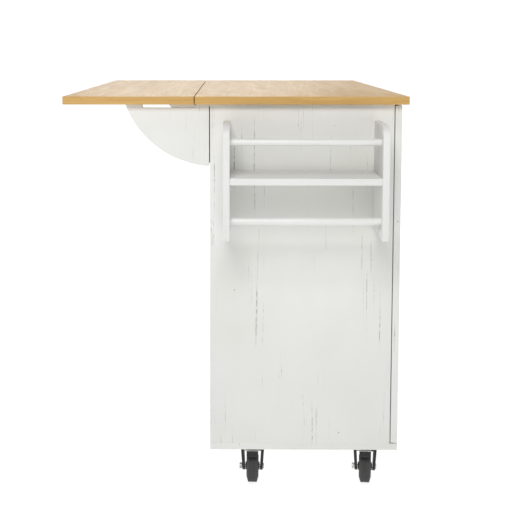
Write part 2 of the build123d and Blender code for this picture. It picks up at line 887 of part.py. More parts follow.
with BuildPart() as fork:
    with BuildSketch(Plane.YZ):
        with BuildLine():
            Polyline(
                (inside_foot, foot_z),
                (inside_top, crown_low),
                (-inside_top, crown_low),
                (-inside_foot, foot_z),
                (-inside_foot - fork_leg, foot_z),
                (-crown_inside - fork_leg, crown_top),
                (crown_inside + fork_leg, crown_top),
                (inside_foot + fork_leg, foot_z),
                close=True,
            )
        make_face()
    extrude(amount=fork_tail + fork_nose, both=True)
    extrude(fork_outline(0), amount=fork_inside_top, both=True, mode=Mode.INTERSECT)
    add(leg_pockets.part, mode=Mode.SUBTRACT)
    window_length = fork_tail - fork_window
    slab(
        -fork_tail,
        -inside_top,
        crown_low - overcut,
        window_length,
        2 * inside_top,
        crown_thickness + 2 * overcut,
        Mode.SUBTRACT,
    )
    rod((0, 0, 0), (0, 0, 1), kingpin_diameter / 2 + running, caster_height, Mode.SUBTRACT)
    rod((axle_x, -fork_inside_top, axle_z), (0, 1, 0), axle_diameter / 2, 2 * fork_inside_top, Mode.SUBTRACT)
    rod(
        (-brake_x, -fork_inside_top, brake_z),
        (0, 1, 0),
        brake_pin / 2 + running,
        2 * fork_inside_top,
        Mode.SUBTRACT,
    )

# Axle bolt: head on one side, washer and nut on the other, both on the webs of the legs.
web_outer = fork_inside_axle / 2 + fork_web + leg_slope * fork_foot_radius
with BuildPart() as axle:
    rod((axle_x, -web_outer, axle_z), (0, 1, 0), axle_diameter / 2, 2 * web_outer + nut_height + axle_end)
    with BuildSketch(Plane(origin=(axle_x, -web_outer, axle_z), z_dir=(0, -1, 0))):
        RegularPolygon(radius=axle_nut_radius, side_count=6)
    extrude(amount=axle_head)
    with BuildSketch(Plane(origin=(axle_x, web_outer, axle_z), z_dir=(0, 1, 0))):
        RegularPolygon(radius=axle_nut_radius, side_count=6)
    extrude(amount=nut_height)

# Brake: a pressed lever on its own pin, with a shoe over the tread and a foot pad at its end.
pad_front = brake_x + pad_reach
pad_low = brake_z - pad_drop
pad_high = pad_low + pad_height
lever_high = pad_high + brake_plate
shoe_low = axle_z + sqrt(wheel_radius**2 - (brake_back + shoe_back) ** 2) + shoe_clearance
with BuildPart() as brake_lever:
    with BuildSketch(Plane.XZ):
        with BuildLine():
            Polyline(
                (-brake_x + lever_heel, brake_z - lever_under),
                (-brake_x + lever_heel, brake_z + lever_over),
                (-brake_x - lever_bend, lever_high),
                (-pad_front + pad_overlap, lever_high),
                (-pad_front + pad_overlap, pad_high),
                (-brake_x - lever_bend + pad_overlap, pad_high),
                (-brake_x - lever_waist, brake_z + lever_waist_lift),
                (-brake_x - shoe_back - shoe_width, shoe_low),
                (-brake_x - shoe_back, shoe_low),
                close=True,
            )
        make_face()
    extrude(amount=brake_width / 2, both=True)
    pin_reach = inside_top + fork_web
    rod((-brake_x, -pin_reach, brake_z), (0, 1, 0), brake_pin / 2, 2 * pin_reach)
    rod((-brake_x, -brake_width / 2, brake_z), (0, 1, 0), brake_barrel, brake_width)

with BuildPart() as brake_pad:
    slab(-pad_front, -brake_width / 2, pad_low, pad_depth, brake_width, pad_high - pad_low)
    fillet(brake_pad.edges().filter_by(Axis.Y).group_by(Axis.Z)[0], pad_rounding)

# Top plate with its ball race and the kingpin, whose head holds the fork's crown.
kingpin_low = crown_low - clear - kingpin_head_height
with BuildPart() as top_plate:
    with BuildSketch(Plane.XY.offset(caster_height - plate_thickness)):
        RectangleRounded(plate_size, plate_size, plate_corner)
        with GridLocations(plate_screw_pitch, plate_screw_pitch, 2, 2):
            Circle(plate_screw / 2, mode=Mode.SUBTRACT)
    extrude(amount=plate_thickness)
    rod((0, 0, race_low), (0, 0, 1), race_diameter / 2, race_height)
    rod((0, 0, kingpin_low), (0, 0, 1), kingpin_diameter / 2, race_low - kingpin_low)
    rod((0, 0, kingpin_low), (0, 0, 1), kingpin_head / 2, kingpin_head_height)
    fillet(top_plate.edges().filter_by(GeomType.CIRCLE).group_by(Axis.Z)[0], race_rounding)

with BuildPart() as plate_screw_body:
    rod((0, 0, -plate_screw_head_height), (0, 0, 1), plate_screw_head / 2, plate_screw_head_height)
    rod((0, 0, 0), (0, 0, 1), plate_screw / 2, plate_screw_depth + plate_thickness)

# ---------------------------------------------------------------- the four casters in place

top_plates = []
plate_screws = []
for name, turn in caster_turns.items():
    caster_x = near_face + caster_end_inset if name.startswith("near") else far_face - caster_end_inset
    caster_y = door_front + caster_front_inset if name.endswith("front") else body_back - caster_back_inset
    turned = Location((caster_x, caster_y, 0), (0, 0, turn))
    on_axle = turned * Location((axle_x, 0, axle_z), (0, 0, 90))

    with BuildPart() as placed_plate:
        with Locations((caster_x, caster_y, 0)):
            add(top_plate.part)
    top_plates.append(placed_plate.part)
    for dx in (-1, 1):
        for dy in (-1, 1):
            screw_x = caster_x + dx * plate_screw_pitch / 2
            screw_y = caster_y + dy * plate_screw_pitch / 2
            with BuildPart() as placed_screw:
                with Locations((screw_x, screw_y, caster_height - plate_thickness)):
                    add(plate_screw_body.part)
            plate_screws.append(placed_screw.part)

    with BuildPart() as placed_fork:
        with Locations(turned):
            add(fork.part)
    with BuildPart() as placed_axle:
        with Locations(turned):
            add(axle.part)
    save_group(f"{name}_caster_fork", [placed_fork.part, placed_axle.part])

    with BuildPart() as placed_lever:
        with Locations(turned):
            add(brake_lever.part)
    with BuildPart() as placed_pad:
        with Locations(turned):
            add(brake_pad.part)
    save_group(f"{name}_caster_brake", [placed_lever.part, placed_pad.part])

    with BuildPart() as placed_tyre:
        with Locations(on_axle):
            add(tyre.part)
    placed_tyre.part.label = f"{name}_caster_tyre"
    export_step(placed_tyre.part, f"parts/{name}_caster_tyre.step")

    with BuildPart() as placed_hub:
        with Locations(on_axle):
            add(hub.part)
    placed_hub.part.label = f"{name}_caster_hub"
    export_step(placed_hub.part, f"parts/{name}_caster_hub.step")
save_group("caster_top_plates", top_plates)
save_group("caster_plate_screws", plate_screws)
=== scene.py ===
"""Looks, light and camera of the kitchen island cart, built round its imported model."""

import json
import logging
import math
from dataclasses import dataclass
from enum import Enum
from typing import Callable, Iterable, Sequence

import bpy
from mathutils import Matrix, Vector


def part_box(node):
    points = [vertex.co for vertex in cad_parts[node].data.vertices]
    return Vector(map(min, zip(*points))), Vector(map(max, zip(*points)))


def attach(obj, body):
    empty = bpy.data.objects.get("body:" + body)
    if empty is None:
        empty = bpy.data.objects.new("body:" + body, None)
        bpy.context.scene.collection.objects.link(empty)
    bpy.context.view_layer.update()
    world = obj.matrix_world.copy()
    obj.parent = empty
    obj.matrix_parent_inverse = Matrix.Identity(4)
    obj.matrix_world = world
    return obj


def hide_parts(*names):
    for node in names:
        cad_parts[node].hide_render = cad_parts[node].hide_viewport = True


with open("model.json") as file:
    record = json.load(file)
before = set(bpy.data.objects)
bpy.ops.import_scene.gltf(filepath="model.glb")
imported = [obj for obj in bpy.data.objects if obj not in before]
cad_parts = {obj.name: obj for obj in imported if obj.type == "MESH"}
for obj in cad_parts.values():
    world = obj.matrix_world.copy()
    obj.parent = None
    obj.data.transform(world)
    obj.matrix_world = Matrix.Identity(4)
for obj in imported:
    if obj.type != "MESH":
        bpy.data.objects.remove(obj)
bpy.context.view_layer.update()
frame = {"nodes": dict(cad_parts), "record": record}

LOG = logging.getLogger("kitchen_cart")
MM = 0.001
BODY_OF = {
    node: body
    for body, nodes in frame["record"]["behaviour"]["bodies"].items()
    for node in nodes
}


# ------------------------------------------------------------------ modelling bench


def pick(obj: bpy.types.Object) -> None:
    """Leave edit mode, then make obj the only selected and the active object."""
    if bpy.context.object and bpy.context.object.mode != "OBJECT":
        bpy.ops.object.mode_set(mode="OBJECT")
    bpy.ops.object.select_all(action="DESELECT")
    obj.select_set(True)
    bpy.context.view_layer.objects.active = obj


def modify(obj: bpy.types.Object, kind: str, **settings: object) -> None:
    """Add a modifier with its settings and apply it.

    Args:
        obj: the piece.
        kind: the modifier's type, such as "BEVEL".
        settings: its properties by name.
    """
    pick(obj)
    modifier = obj.modifiers.new(kind.title(), kind)
    for name, value in settings.items():
        setattr(modifier, name, value)
    bpy.ops.object.modifier_apply(modifier=modifier.name)


def settle(obj: bpy.types.Object, name: str, angle: float = 40.0) -> bpy.types.Object:
    """Name a finished piece, apply its transforms and shade its curves.

    Args:
        obj: the piece.
        name: its new name.
        angle: faces that meet at less than this, in degrees, are shaded as one curve.

    Returns:
        The piece.
    """
    pick(obj)
    bpy.ops.object.transform_apply(location=True, rotation=True, scale=True)
    bpy.ops.object.shade_smooth_by_angle(angle=math.radians(angle))
    obj.name = name
    obj.data.name = name
    return obj


def soften(obj: bpy.types.Object, width: float, segments: int = 3, shortest: float = 0.0) -> None:
    """Round a piece's sharp edges and keep its flat faces flat to the light.

    Args:
        obj: the piece.
        width: the rounding's size.
        segments: steps in the rounding.
        shortest: shorter edges stay sharp.
    """
    pick(obj)
    bpy.ops.object.mode_set(mode="EDIT")
    bpy.ops.mesh.select_mode(type="EDGE")
    bpy.ops.mesh.select_all(action="DESELECT")
    bpy.ops.mesh.edges_select_sharp(sharpness=math.radians(50))
    bpy.ops.object.mode_set(mode="OBJECT")
    mesh = obj.data
    weights = mesh.attributes.new("bevel_weight_edge", "FLOAT", "EDGE")
    for edge in mesh.edges:
        ends = [mesh.vertices[v].co for v in edge.vertices]
        long_enough = (ends[0] - ends[1]).length >= shortest
        weights.data[edge.index].value = float(edge.select and long_enough)
    modify(obj, "BEVEL", width=width, segments=segments, limit_method="WEIGHT", use_clamp_overlap=True)
    modify(obj, "WEIGHTED_NORMAL", keep_sharp=True)


def copy_of(node: str) -> bpy.types.Object:
    """Copy a CAD node's mesh into a new object, merged into closed faces."""
    obj = bpy.data.objects.new(node + ".copy", frame["nodes"][node].data.copy())
    bpy.context.scene.collection.objects.link(obj)
    obj.data.materials.clear()
    pick(obj)
    bpy.ops.mesh.customdata_custom_splitnormals_clear()
    bpy.ops.object.mode_set(mode="EDIT")
    bpy.ops.mesh.select_all(action="SELECT")
    bpy.ops.mesh.remove_doubles(threshold=0.002 * MM)
    bpy.ops.mesh.dissolve_limited(angle_limit=math.radians(0.5))
    bpy.ops.object.mode_set(mode="OBJECT")
    return obj


def loose_parts(obj: bpy.types.Object) -> list[bpy.types.Object]:
    """Split an object into its unconnected parts, largest first."""
    pick(obj)
    bpy.ops.mesh.separate(type="LOOSE")
    parts = list(bpy.context.selected_objects)
    return sorted(parts, key=lambda part: -part.dimensions.length)


def block(low: Sequence[float], high: Sequence[float], rounding: float) -> bpy.types.Object:
    """A softened board or bar between two corners."""
    low, high = Vector(low), Vector(high)
    bpy.ops.object.select_all(action="DESELECT")
    bpy.ops.mesh.primitive_cube_add(size=1, location=(low + high) / 2, scale=high - low)
    obj = bpy.context.object
    bpy.ops.object.transform_apply(location=True, rotation=True, scale=True)
    soften(obj, rounding)
    return obj


def spun(
    profile: Iterable[tuple[float, float]],
    start: Sequence[float] = (0, 0, 0),
    direction: Sequence[float] = (0, 0, 1),
    sides: int = 48,
) -> bpy.types.Object:
    """Turn a profile round a line, as on a lathe.

    Args:
        profile: (distance along the line, radius) of each point in turn.
        start: where the line starts.
        direction: which way it runs.
        sides: faces round the turn.

    Returns:
        The turned shape.
    """
    bpy.ops.object.select_all(action="DESELECT")
    bpy.ops.mesh.primitive_plane_add(size=MM)
    obj = bpy.context.object
    bpy.ops.object.mode_set(mode="EDIT")
    bpy.ops.mesh.select_mode(type="VERT")
    bpy.ops.mesh.select_all(action="SELECT")
    bpy.ops.mesh.merge(type="CENTER")
    here = Vector((0, 0, 0))
    for step, (along, radius) in enumerate(profile):
        there = Vector((radius, 0, along))
        if step == 0:
            bpy.ops.transform.translate(value=there - here)
        else:
            bpy.ops.mesh.extrude_vertices_move(TRANSFORM_OT_translate={"value": there - here})
        here = there
    bpy.ops.mesh.select_all(action="SELECT")
    bpy.ops.mesh.spin(steps=sides, angle=math.tau, center=(0, 0, 0), axis=(0, 0, 1))
    bpy.ops.mesh.select_all(action="SELECT")
    bpy.ops.mesh.remove_doubles(threshold=0.002 * MM)
    bpy.ops.mesh.normals_make_consistent(inside=False)
    bpy.ops.object.mode_set(mode="OBJECT")
    turn = Vector(direction).to_track_quat("Z", "Y").to_matrix().to_4x4()
    obj.matrix_world = Matrix.Translation(Vector(start)) @ turn
    bpy.ops.object.transform_apply(location=True, rotation=True, scale=True)
    return obj


def copied(obj: bpy.types.Object, place: Matrix) -> bpy.types.Object:
    """A copy of a piece with its own mesh, moved by place."""
    twin = bpy.data.objects.new(obj.name, obj.data.copy())
    bpy.context.scene.collection.objects.link(twin)
    twin.data.transform(place)
    return twin


def joined(parts: Sequence[bpy.types.Object]) -> bpy.types.Object:
    """Join parts into one object."""
    pick(parts[0])
    for part in parts:
        part.select_set(True)
    bpy.ops.object.join()
    return bpy.context.object


def drop(obj: bpy.types.Object) -> None:
    """Remove a pattern that has been copied into place."""
    bpy.data.objects.remove(obj)


def axle_profile(length: float, radius: float, rounding: float) -> list[tuple[float, float]]:
    """The profile of a solid bar with rounded ends, for spun."""
    steps = 4
    corner = [
        (rounding * (1 - math.cos(a)), radius - rounding * (1 - math.sin(a)))
        for a in (i * math.pi / 2 / steps for i in range(steps + 1))
    ]
    return [(0, 0), *corner, *((length - z, r) for z, r in reversed(corner)), (length, 0)]


# ------------------------------------------------------------------ finishes


def linear(code: str) -> tuple[float, float, float, float]:
    """Turn a screen colour such as "d0b080" into scene light."""
    levels = [int(code[i : i + 2], 16) / 255 for i in (0, 2, 4)]
    red, green, blue = (v / 12.92 if v <= 0.04045 else ((v + 0.055) / 1.055) ** 2.4 for v in levels)
    return red, green, blue, 1.0


class Graph:
    """A node tree and the shorthands that fill it."""

    def __init__(self, tree: bpy.types.NodeTree) -> None:
        """Start from an empty tree."""
        self.tree = tree
        tree.nodes.clear()

    def add(self, kind: str, settings: dict | None = None, inputs: dict | None = None) -> bpy.types.Node:
        """Add a node.

        Args:
            kind: its type without "ShaderNode".
            settings: its properties.
            inputs: a value, or a socket to link, for each input by name or number.

        Returns:
            The node.
        """
        node = self.tree.nodes.new("ShaderNode" + kind)
        for name, value in (settings or {}).items():
            setattr(node, name, value)
        for name, value in (inputs or {}).items():
            if isinstance(value, bpy.types.NodeSocket):
                self.tree.links.new(value, node.inputs[name])
            else:
                node.inputs[name].default_value = value
        return node

    def math(self, operation: str, a: object, b: object = 0.0) -> bpy.types.NodeSocket:
        """One sum on two numbers."""
        return self.add("Math", {"operation": operation}, {0: a, 1: b}).outputs[0]

    def scaled(self, vector: object, by: Sequence[float]) -> bpy.types.NodeSocket:
        """A coordinate stretched by three factors."""
        return self.add("VectorMath", {"operation": "MULTIPLY"}, {0: vector, 1: by}).outputs[0]

    def moved(self, vector: object, by: object) -> bpy.types.NodeSocket:
        """A coordinate with another added to it."""
        return self.add("VectorMath", {"operation": "ADD"}, {0: vector, 1: by}).outputs[0]

    def noise(self, vector: object, scale: object = 1.0, detail: float = 2.0) -> bpy.types.NodeSocket:
        """Smooth noise, about 0.5 in the middle."""
        inputs = {"Vector": vector, "Scale": scale, "Detail": detail}
        return self.add("TexNoise", {}, inputs).outputs["Fac"]

    def ramp(self, value: object, start: object, end: object, low: object = 0.0, high: object = 1.0):
        """A number carried from start..end to low..high."""
        inputs = {"Value": value, "From Min": start, "From Max": end, "To Min": low, "To Max": high}
        return self.add("MapRange", {"interpolation_type": "LINEAR"}, inputs).outputs[0]

    def blend(self, factor: object, a: object, b: object) -> bpy.types.NodeSocket:
        """Mix two colours."""
        node = self.add("Mix", {"data_type": "RGBA"}, {0: factor, 6: a, 7: b})
        return node.outputs[2]

    def group(self, tree: bpy.types.NodeTree, inputs: dict) -> bpy.types.Node:
        """Place a shared effect."""
        return self.add("Group", {"node_tree": tree}, inputs)


class Effects:
    """The effects that several finishes share, each built once as a node group."""

    @staticmethod
    def _group(name: str, inputs: dict, outputs: Iterable[str], fill: Callable) -> bpy.types.NodeTree:
        """Build a group with a Vector input, or find it.

        Args:
            name: the group's name.
            inputs: its number inputs and their usual values.
            outputs: its number outputs.
            fill: makes the nodes, given the graph and the input node, and returns an output each.

        Returns:
            The group.
        """
        if name in bpy.data.node_groups:
            return bpy.data.node_groups[name]
        tree = bpy.data.node_groups.new(name, "ShaderNodeTree")
        tree.interface.new_socket("Vector", in_out="INPUT", socket_type="NodeSocketVector")
        for label, value in inputs.items():
            socket = tree.interface.new_socket(label, in_out="INPUT", socket_type="NodeSocketFloat")
            socket.default_value = value
        for label in outputs:
            tree.interface.new_socket(label, in_out="OUTPUT", socket_type="NodeSocketFloat")
        graph = Graph(tree)
        entry = tree.nodes.new("NodeGroupInput")
        leave = tree.nodes.new("NodeGroupOutput")
        for label, socket in zip(outputs, fill(graph, entry.outputs)):
            tree.links.new(socket, leave.inputs[label])
        return tree

    @classmethod
    def tone(cls) -> bpy.types.NodeTree:
        """Cloudy variation between two values, and a fine grit for a bump."""

        def fill(graph: Graph, given: object) -> tuple:
            cloud = graph.noise(given["Vector"], given["Scale"], 3.0)
            grit = graph.noise(given["Vector"], given["Grit"], 2.0)
            return graph.ramp(cloud, 0.3, 0.7, given["Low"], given["High"]), grit

        inputs = {"Scale": 12.0, "Low": 0.0, "High": 1.0, "Grit": 900.0}
        return cls._group("Tone and grit", inputs, ("Tone", "Height"), fill)

    @classmethod
    def streaks(cls) -> bpy.types.NodeTree:
        """Long, broken, thin lines of old grain that run along local X, and scattered small specks."""

        def fill(graph: Graph, given: object) -> tuple:
            drift = graph.noise(graph.scaled(given["Vector"], (3.0, 4.0, 4.0)), 1.0, 1.0)
            wander = graph.math("MULTIPLY", drift, given["Wander"])
            aside = graph.add("CombineXYZ", {}, {1: wander, 2: wander}).outputs[0]
            bent = graph.moved(given["Vector"], aside)
            long_noise = graph.noise(graph.scaled(bent, (4.5, 240.0, 240.0)), 1.0, 1.0)
            line = graph.ramp(long_noise, given["Sparse"], 0.74)
            patch_noise = graph.noise(graph.scaled(bent, (1.9, 12.0, 12.0)), 1.0, 2.0)
            patch = graph.ramp(patch_noise, 0.46, 0.58, 0.04, 1.0)
            dash_noise = graph.noise(graph.scaled(bent, (95.0, 240.0, 240.0)), 1.0, 2.0)
            dash = graph.ramp(dash_noise, 0.44, 0.62, 0.18, 1.0)
            cells = graph.add("TexVoronoi", {}, {"Vector": given["Vector"], "Scale": given["Speck density"]})
            near = graph.ramp(cells.outputs["Distance"], 0.05, 0.026)
            chance = graph.add("SeparateColor", {}, {0: cells.outputs["Color"]}).outputs[0]
            kept = graph.ramp(chance, 0.5, 0.56)
            lines = graph.math("MULTIPLY", graph.math("MULTIPLY", line, patch), dash)
            return lines, graph.math("MULTIPLY", near, kept)

        inputs = {"Wander": 0.012, "Sparse": 0.66, "Speck density": 27.0}
        return cls._group("Streaks", inputs, ("Lines", "Specks"), fill)

    @classmethod
    def figure(cls) -> bpy.types.NodeTree:
        """Wood figure that runs along local X: broad bands, fine lines and short pores."""

        def fill(graph: Graph, given: object) -> tuple:
            sway = graph.noise(graph.scaled(given["Vector"], (2.2, 9.0, 9.0)), 1.0, 2.0)
            aside = graph.add("CombineXYZ", {}, {1: graph.math("MULTIPLY", sway, given["Sway"])})
            bent = graph.moved(given["Vector"], aside.outputs[0])
            broad = graph.noise(graph.scaled(bent, (2.0, 26.0, 26.0)), 1.0, 3.0)
            fine = graph.noise(graph.scaled(bent, (5.0, 190.0, 190.0)), 1.0, 3.0)
            pores = graph.ramp(graph.noise(graph.scaled(bent, (38.0, 620.0, 620.0)), 1.0, 1.0), 0.6, 0.74)
            return broad, fine, pores

        return cls._group("Wood figure", {"Sway": 0.06}, ("Broad", "Fine", "Pores"), fill)


class Grain(Enum):
    """Which way a board's grain runs, as the order of the axes that brings it onto X."""

    LENGTHWISE = "XYZ"
    UPRIGHT = "ZYX"
    CROSSWISE = "YXZ"


@dataclass(frozen=True)
class Finish:
    """A finish: its name, the record's slot that it belongs to, and its material."""

    name: str
    slot: str

    def material(self) -> bpy.types.Material:
        """The material, built when it is first asked for."""
        if self.name in bpy.data.materials:
            return bpy.data.materials[self.name]
        material = bpy.data.materials.new(self.name)
        material.use_nodes = True
        graph = Graph(material.node_tree)
        shader = graph.add("BsdfPrincipled")
        output = graph.add("OutputMaterial")
        graph.tree.links.new(shader.outputs[0], output.inputs[0])
        self.paint(graph, shader)
        return material

    def paint(self, graph: Graph, shader: bpy.types.Node) -> None:
        """Fill the material's nodes. Each kind of finish has its own."""
        raise NotImplementedError

    def bump(
        self,
        graph: Graph,
        shader: bpy.types.Node,
        height: object,
        strength: float,
        depth: float,
    ) -> None:
        """Feed a height to the shader's normal."""
        inputs = {"Height": height, "Strength": strength, "Distance": depth}
        node = graph.add("Bump", {}, inputs)
        graph.tree.links.new(node.outputs[0], shader.inputs["Normal"])


def board_vector(graph: Graph, grain: Grain) -> bpy.types.NodeSocket:
    """Object coordinates turned so that the grain runs along X."""
    place = graph.add("TexCoord").outputs["Object"]
    axes = graph.add("SeparateXYZ", {}, {0: place}).outputs
    order = {i: axes["XYZ".index(letter)] for i, letter in enumerate(grain.value)}
    return graph.add("CombineXYZ", {}, order).outputs[0]


@dataclass(frozen=True)
class Whitewash(Finish):
    """Matt white laminate printed with faint, broken grain lines and small specks."""

    grain: Grain = Grain.UPRIGHT
    pale: str = "e6e6e3"
    shade: str = "e1e1dc"
    line: str = "8e8e89"
    sparse: float = 0.655

    def paint(self, graph: Graph, shader: bpy.types.Node) -> None:
        """Pale boards with grey lines, and a grain that is just felt."""
        vector = board_vector(graph, self.grain)
        marks = graph.group(Effects.streaks(), {"Vector": vector, "Sparse": self.sparse}).outputs
        tone = graph.group(Effects.tone(), {"Vector": vector, "Scale": 5.0, "Grit": 420.0}).outputs
        gloss = {"Vector": vector, "Scale": 30.0, "Low": 0.46, "High": 0.6}
        sheen = graph.group(Effects.tone(), gloss).outputs
        colour = graph.blend(tone["Tone"], linear(self.shade), linear(self.pale))
        colour = graph.blend(graph.math("MULTIPLY", marks["Lines"], 0.85), colour, linear(self.line))
        colour = graph.blend(graph.math("MULTIPLY", marks["Specks"], 0.8), colour, linear("80807b"))
        graph.tree.links.new(colour, shader.inputs["Base Color"])
        graph.tree.links.new(sheen["Tone"], shader.inputs["Roughness"])
        shader.inputs["Specular IOR Level"].default_value = 0.35
        height = graph.math("SUBTRACT", tone["Height"], marks["Lines"])
        self.bump(graph, shader, height, 0.25, 0.06 * MM)


@dataclass(frozen=True)
class Oak(Finish):
    """Light oak laminate with an edge band, whose grain runs along every edge."""

    pale: str = "d8b780"
    mid: str = "c9a264"
    dark: str = "b3884b"

    def paint(self, graph: Graph, shader: bpy.types.Node) -> None:
        """Oak whose ends show the band's grain, not cut ends."""
        coordinates = graph.add("TexCoord").outputs
        axes = graph.add("SeparateXYZ", {}, {0: coordinates["Object"]}).outputs
        across = graph.add("CombineXYZ", {}, {0: axes[1], 1: axes[2], 2: axes[0]}).outputs[0]
        facing = graph.add("SeparateXYZ", {}, {0: coordinates["Normal"]}).outputs
        ends = graph.math("GREATER_THAN", graph.math("ABSOLUTE", facing[0]), 0.6)
        band = graph.math("LESS_THAN", graph.math("ABSOLUTE", facing[2]), 0.6)
        choices = {0: ends, 4: coordinates["Object"], 5: across}
        vector = graph.add("Mix", {"data_type": "VECTOR"}, choices).outputs[1]
        figure = graph.group(Effects.figure(), {"Vector": vector}).outputs
        tone = graph.group(Effects.tone(), {"Vector": vector, "Scale": 3.0, "Grit": 380.0}).outputs
        gloss = {"Vector": vector, "Scale": 24.0, "Low": 0.34, "High": 0.46}
        sheen = graph.group(Effects.tone(), gloss).outputs
        colour = graph.blend(graph.ramp(figure["Broad"], 0.36, 0.64), linear(self.mid), linear(self.pale))
        colour = graph.blend(graph.ramp(figure["Fine"], 0.44, 0.7, 0.0, 0.55), colour, linear(self.dark))
        colour = graph.blend(graph.math("MULTIPLY", figure["Pores"], 0.35), colour, linear("8f6430"))
        colour = graph.blend(graph.ramp(tone["Tone"], 0.0, 1.0, 0.0, 0.18), colour, linear(self.pale))
        colour = graph.blend(graph.math("MULTIPLY", band, 0.35), colour, linear("c79a4e"))
        graph.tree.links.new(colour, shader.inputs["Base Color"])
        graph.tree.links.new(sheen["Tone"], shader.inputs["Roughness"])
        shader.inputs["Specular IOR Level"].default_value = 0.22
        height = graph.math("SUBTRACT", graph.math("MULTIPLY", tone["Height"], 0.4), figure["Pores"])
        self.bump(graph, shader, height, 0.3, 0.08 * MM)


@dataclass(frozen=True)
class Coat(Finish):
    """Paint, plastic, rubber or metal: two close tones, uneven gloss and a fine skin."""

    dark: str = "808080"
    pale: str = "909090"
    rough: tuple[float, float] = (0.4, 0.5)
    metallic: float = 0.0
    cloud: float = 14.0
    grit: float = 900.0
    depth: float = 0.02
    stretch: tuple[float, float, float] = (1.0, 1.0, 1.0)
    specular: float = 0.5

    def paint(self, graph: Graph, shader: bpy.types.Node) -> None:
        """An even coat with small changes of tone and gloss."""
        place = graph.add("TexCoord").outputs["Object"]
        vector = graph.scaled(place, self.stretch)
        tone = graph.group(Effects.tone(), {"Vector": vector, "Scale": self.cloud, "Grit": self.grit}).outputs
        given = {"Vector": vector, "Scale": self.cloud * 3, "Low": self.rough[0], "High": self.rough[1]}
        gloss = graph.group(Effects.tone(), given).outputs
        colour = graph.blend(tone["Tone"], linear(self.dark), linear(self.pale))
        graph.tree.links.new(colour, shader.inputs["Base Color"])
        graph.tree.links.new(gloss["Tone"], shader.inputs["Roughness"])
        shader.inputs["Metallic"].default_value = self.metallic
        shader.inputs["Specular IOR Level"].default_value = self.specular
        self.bump(graph, shader, tone["Height"], 0.3, self.depth * MM)


@dataclass(frozen=True)
class PlainWood(Finish):
    """Bare beech, as in dowels."""

    grain: Grain = Grain.LENGTHWISE

    def paint(self, graph: Graph, shader: bpy.types.Node) -> None:
        """Pale wood with fine lines."""
        figure = graph.group(Effects.figure(), {"Vector": board_vector(graph, self.grain)}).outputs
        colour = graph.blend(figure["Fine"], linear("c9a37a"), linear("e2c6a0"))
        colour = graph.blend(graph.math("MULTIPLY", figure["Pores"], 0.4), colour, linear("9a7248"))
        graph.tree.links.new(colour, shader.inputs["Base Color"])
        graph.tree.links.new(graph.ramp(figure["Broad"], 0.3, 0.7, 0.55, 0.7), shader.inputs["Roughness"])
        self.bump(graph, shader, figure["Fine"], 0.3, 0.05 * MM)


WHITE_UPRIGHT = Whitewash("whitewash upright", "white_laminate")
WHITE_LENGTHWISE = Whitewash("whitewash lengthwise", "white_laminate", Grain.LENGTHWISE)
RACK_TONES = ("e3e3e1", "dededb", "a4a49f", 0.71)
RACK_WHITE = Whitewash("rack whitewash", "white_laminate", Grain.UPRIGHT, *RACK_TONES)
RACK_SHELF_WHITE = Whitewash("rack shelf whitewash", "white_laminate", Grain.CROSSWISE, *RACK_TONES)
BAR_WHITE = Coat("satin white paint", "white_paint", "dededb", "e5e5e3", (0.28, 0.38), grit=260.0, depth=0.03)
OAK = Oak("light oak", "oak_laminate")
DRAWER_SIDES = Whitewash("drawer sides", "drawer_board", Grain.CROSSWISE, "dcdad4", "d3d1ca", "a8a69f", 0.68)
BEECH = PlainWood("beech", "dowel_wood")
ZINC = Coat("zinc plated steel", "zinc_steel", "a9a9a7", "cfcfcc", (0.24, 0.4), 1.0, 60.0, 1500.0, 0.01)
NICKEL_LOOK = ("a8a5a0", "c6c3bd", (0.22, 0.36), 1.0, 40.0, 2400.0, 0.012)
NICKEL = Coat("brushed nickel", "brushed_nickel", *NICKEL_LOOK, (1.0, 1.0, 0.06))
NICKEL_LEVEL = Coat("brushed nickel level", "brushed_nickel", *NICKEL_LOOK, (0.06, 1.0, 1.0))
CATCH = Coat("catch plastic", "catch_plastic", "dedfdc", "e8e8e6", (0.35, 0.45))
BLACK_STEEL = Coat(
    "black coated steel", "black_steel", "141414", "1e1e1e", (0.32, 0.5), 0.0, 90.0, 1300.0, 0.03
)
BLACK_PLASTIC = Coat(
    "black plastic", "black_plastic", "101010", "1a1a1a", (0.42, 0.58), 0.0, 80.0, 1600.0, 0.03
)
TREAD = Coat("tread", "tread", "333333", "3c3c3b", (0.7, 0.84), 0.0, 110.0, 900.0, 0.06, specular=0.0)
HUB = Coat("hub plastic", "hub_plastic", "151515", "202020", (0.3, 0.45), 0.0, 70.0, 1200.0, 0.02)


# ------------------------------------------------------------------ sub-assemblies


